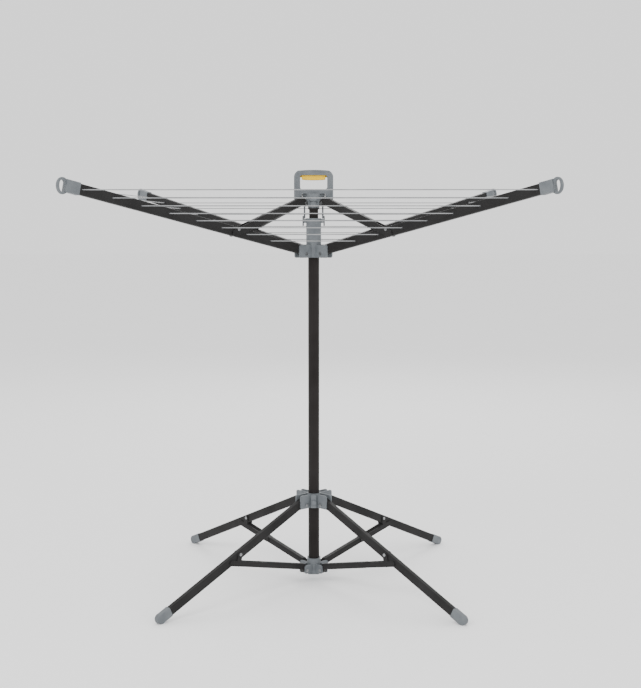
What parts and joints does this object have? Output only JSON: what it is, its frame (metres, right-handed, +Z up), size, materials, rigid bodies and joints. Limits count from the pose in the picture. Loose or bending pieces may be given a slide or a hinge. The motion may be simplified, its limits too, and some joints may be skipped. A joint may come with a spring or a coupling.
{
  "type": "rotary clothesline",
  "caption": "Free-standing rotary clothesline on folding legs: arms with square line loops fold on a mast below a turning head with a carrying handle.",
  "frame": {"origin": "on the floor under the mast axis", "axes": "+Z up along the mast; the carrying handle's opening faces -Y and +Y; arms and legs lie at 45 degrees to X and Y"},
  "size_m": [1.4314, 1.4314, 1.425],
  "materials": {
    "dark_tube": "satin powder coat",
    "mast_paint": "satin powder coat",
    "black_plastic": "fine moulded grain",
    "grey_plastic": "fine moulded grain",
    "zinc_steel": "bright zinc plate",
    "latch_steel": "grey paint",
    "line_cord": "smooth coated cord",
    "trigger_yellow": "fine moulded grain"
  },
  "bodies": {
    "mast": {"mast_tube": "mast_paint", "mast_inner_tube": "mast_paint", "reducer_bush": "black_plastic", "thrust_collar": "black_plastic", "head_retainer": "black_plastic", "brace_hub": "grey_plastic", "brace_hub_pins": "zinc_steel"},
    "brace_rear_right": {"brace_rear_right": "dark_tube"},
    "brace_rear_left": {"brace_rear_left": "dark_tube"},
    "brace_front_left": {"brace_front_left": "dark_tube"},
    "brace_front_right": {"brace_front_right": "dark_tube"},
    "leg_rear_right": {"leg_tube_rear_right": "dark_tube", "foot_cap_rear_right": "grey_plastic", "leg_rivet_rear_right": "zinc_steel"},
    "leg_rear_left": {"leg_tube_rear_left": "dark_tube", "foot_cap_rear_left": "grey_plastic", "leg_rivet_rear_left": "zinc_steel"},
    "leg_front_left": {"leg_tube_front_left": "dark_tube", "foot_cap_front_left": "grey_plastic", "leg_rivet_front_left": "zinc_steel"},
    "leg_front_right": {"leg_tube_front_right": "dark_tube", "foot_cap_front_right": "grey_plastic", "leg_rivet_front_right": "zinc_steel"},
    "leg_hub": {"leg_hub": "grey_plastic", "leg_hub_pins": "zinc_steel"},
    "leg_lock": {"leg_lock_button": "grey_plastic"},
    "head": {"upper_hub": "grey_plastic", "upper_hub_pins": "zinc_steel", "handle_frame": "grey_plastic", "handle_screws": "zinc_steel", "trigger_springs": "zinc_steel"},
    "trigger": {"trigger": "trigger_yellow"},
    "latch_left": {"latch_left": "latch_steel"},
    "latch_right": {"latch_right": "latch_steel"},
    "strut_rear_right": {"strut_rear_right": "dark_tube"},
    "strut_rear_left": {"strut_rear_left": "dark_tube"},
    "strut_front_left": {"strut_front_left": "dark_tube"},
    "strut_front_right": {"strut_front_right": "dark_tube"},
    "arm_rear_right": {"arm_tube_rear_right": "dark_tube", "arm_root_rear_right": "black_plastic", "arm_tip_rear_right": "grey_plastic", "arm_rivet_rear_right": "zinc_steel", "line_rear_right": "line_cord"},
    "arm_rear_left": {"arm_tube_rear_left": "dark_tube", "arm_root_rear_left": "black_plastic", "arm_tip_rear_left": "grey_plastic", "arm_rivet_rear_left": "zinc_steel", "line_rear_left": "line_cord"},
    "arm_front_left": {"arm_tube_front_left": "dark_tube", "arm_root_front_left": "black_plastic", "arm_tip_front_left": "grey_plastic", "arm_rivet_front_left": "zinc_steel", "line_front_left": "line_cord"},
    "arm_front_right": {"arm_tube_front_right": "dark_tube", "arm_root_front_right": "black_plastic", "arm_tip_front_right": "grey_plastic", "arm_rivet_front_right": "zinc_steel", "line_front_right": "line_cord"},
    "arm_hub": {"arm_hub": "grey_plastic", "arm_hub_pins": "zinc_steel"}
  },
  "joints": [
    {"name": "stand_fold", "type": "hinge", "parent": "mast", "child": "brace_front_left", "pos_m": [-0.03253, -0.03253, 0.044], "axis": [-0.7071, 0.7071, 0], "range_deg": [0, 52.9]},
    {"name": "leg_pivot_front_left", "type": "hinge", "parent": "brace_front_left", "child": "leg_front_left", "pos_m": [-0.24537, -0.24537, 0.16], "axis": [0.7071, -0.7071, 0], "range_deg": [0, 105.8]},
    {"name": "brace_pivot_rear_right", "type": "hinge", "parent": "mast", "child": "brace_rear_right", "pos_m": [0.03253, 0.03253, 0.044], "axis": [0.7071, -0.7071, 0], "range_deg": [0, 52.9]},
    {"name": "leg_pivot_rear_right", "type": "hinge", "parent": "brace_rear_right", "child": "leg_rear_right", "pos_m": [0.24537, 0.24537, 0.16], "axis": [-0.7071, 0.7071, 0], "range_deg": [0, 105.8]},
    {"name": "brace_pivot_rear_left", "type": "hinge", "parent": "mast", "child": "brace_rear_left", "pos_m": [-0.03253, 0.03253, 0.044], "axis": [0.7071, 0.7071, 0], "range_deg": [0, 52.9]},
    {"name": "leg_pivot_rear_left", "type": "hinge", "parent": "brace_rear_left", "child": "leg_rear_left", "pos_m": [-0.24537, 0.24537, 0.16], "axis": [-0.7071, -0.7071, 0], "range_deg": [0, 105.8]},
    {"name": "brace_pivot_front_right", "type": "hinge", "parent": "mast", "child": "brace_front_right", "pos_m": [0.03253, -0.03253, 0.044], "axis": [-0.7071, -0.7071, 0], "range_deg": [0, 52.9]},
    {"name": "leg_pivot_front_right", "type": "hinge", "parent": "brace_front_right", "child": "leg_front_right", "pos_m": [0.24537, -0.24537, 0.16], "axis": [0.7071, 0.7071, 0], "range_deg": [0, 105.8]},
    {"name": "leg_hub_pivot", "type": "hinge", "parent": "leg_front_left", "child": "leg_hub", "pos_m": [-0.03253, -0.03253, 0.276], "axis": [-0.7071, 0.7071, 0], "range_deg": [0, 52.9]},
    {"name": "leg_lock", "type": "slide", "parent": "leg_hub", "child": "leg_lock", "axis": [0, -1, 0], "range_m": [0, 0.005], "stiffness_N_per_m": 400, "springref_m": -0.004},
    {"name": "head_spin", "type": "hinge", "parent": "mast", "child": "head", "pos_m": [0, 0, 1.298], "axis": [0, 0, 1], "continuous": true},
    {"name": "arms_fold", "type": "hinge", "parent": "head", "child": "strut_front_left", "pos_m": [-0.03253, -0.03253, 1.312], "axis": [0.7071, -0.7071, 0], "range_deg": [0, 58.1], "deforming": ["line_rear_right", "line_rear_left", "line_front_left", "line_front_right"]},
    {"name": "arm_pivot_front_left", "type": "hinge", "parent": "strut_front_left", "child": "arm_front_left", "pos_m": [-0.24395, -0.24395, 1.227], "axis": [-0.7071, 0.7071, 0], "range_deg": [0, 116.2]},
    {"name": "strut_pivot_rear_right", "type": "hinge", "parent": "head", "child": "strut_rear_right", "pos_m": [0.03253, 0.03253, 1.312], "axis": [-0.7071, 0.7071, 0], "range_deg": [0, 58.1]},
    {"name": "arm_pivot_rear_right", "type": "hinge", "parent": "strut_rear_right", "child": "arm_rear_right", "pos_m": [0.24395, 0.24395, 1.227], "axis": [0.7071, -0.7071, 0], "range_deg": [0, 116.2]},
    {"name": "strut_pivot_rear_left", "type": "hinge", "parent": "head", "child": "strut_rear_left", "pos_m": [-0.03253, 0.03253, 1.312], "axis": [-0.7071, -0.7071, 0], "range_deg": [0, 58.1]},
    {"name": "arm_pivot_rear_left", "type": "hinge", "parent": "strut_rear_left", "child": "arm_rear_left", "pos_m": [-0.24395, 0.24395, 1.227], "axis": [0.7071, 0.7071, 0], "range_deg": [0, 116.2]},
    {"name": "strut_pivot_front_right", "type": "hinge", "parent": "head", "child": "strut_front_right", "pos_m": [0.03253, -0.03253, 1.312], "axis": [0.7071, 0.7071, 0], "range_deg": [0, 58.1]},
    {"name": "arm_pivot_front_right", "type": "hinge", "parent": "strut_front_right", "child": "arm_front_right", "pos_m": [0.24395, -0.24395, 1.227], "axis": [-0.7071, -0.7071, 0], "range_deg": [0, 116.2]},
    {"name": "arm_hub_pivot", "type": "hinge", "parent": "arm_front_left", "child": "arm_hub", "pos_m": [-0.03253, -0.03253, 1.142], "axis": [0.7071, -0.7071, 0], "range_deg": [0, 58.1]},
    {"name": "trigger_pull", "type": "slide", "parent": "head", "child": "trigger", "axis": [0, 0, 1], "range_m": [0, 0.0035], "stiffness_N_per_m": 900, "springref_m": -0.004, "deforming": ["trigger_springs"]},
    {"name": "latch_right_swing", "type": "hinge", "parent": "head", "child": "latch_right", "pos_m": [0.031, 0, 1.335], "axis": [0, -1, 0], "range_deg": [0, 11.6]},
    {"name": "latch_left_swing", "type": "hinge", "parent": "head", "child": "latch_left", "pos_m": [-0.031, 0, 1.335], "axis": [0, 1, 0], "range_deg": [0, 11.6]}
  ],
  "couplings": [
    {"joint": "leg_pivot_front_left", "follows": "stand_fold", "ratio": 2},
    {"joint": "brace_pivot_rear_right", "follows": "stand_fold", "ratio": 1},
    {"joint": "leg_pivot_rear_right", "follows": "stand_fold", "ratio": 2},
    {"joint": "brace_pivot_rear_left", "follows": "stand_fold", "ratio": 1},
    {"joint": "leg_pivot_rear_left", "follows": "stand_fold", "ratio": 2},
    {"joint": "brace_pivot_front_right", "follows": "stand_fold", "ratio": 1},
    {"joint": "leg_pivot_front_right", "follows": "stand_fold", "ratio": 2},
    {"joint": "leg_hub_pivot", "follows": "stand_fold", "ratio": 1},
    {"joint": "arm_pivot_front_left", "follows": "arms_fold", "ratio": 2},
    {"joint": "strut_pivot_rear_right", "follows": "arms_fold", "ratio": 1},
    {"joint": "arm_pivot_rear_right", "follows": "arms_fold", "ratio": 2},
    {"joint": "strut_pivot_rear_left", "follows": "arms_fold", "ratio": 1},
    {"joint": "arm_pivot_rear_left", "follows": "arms_fold", "ratio": 2},
    {"joint": "strut_pivot_front_right", "follows": "arms_fold", "ratio": 1},
    {"joint": "arm_pivot_front_right", "follows": "arms_fold", "ratio": 2},
    {"joint": "arm_hub_pivot", "follows": "arms_fold", "ratio": 1},
    {"joint": "latch_right_swing", "follows": "trigger_pull", "rad_per_m": 57},
    {"joint": "latch_left_swing", "follows": "trigger_pull", "rad_per_m": 57}
  ]
}
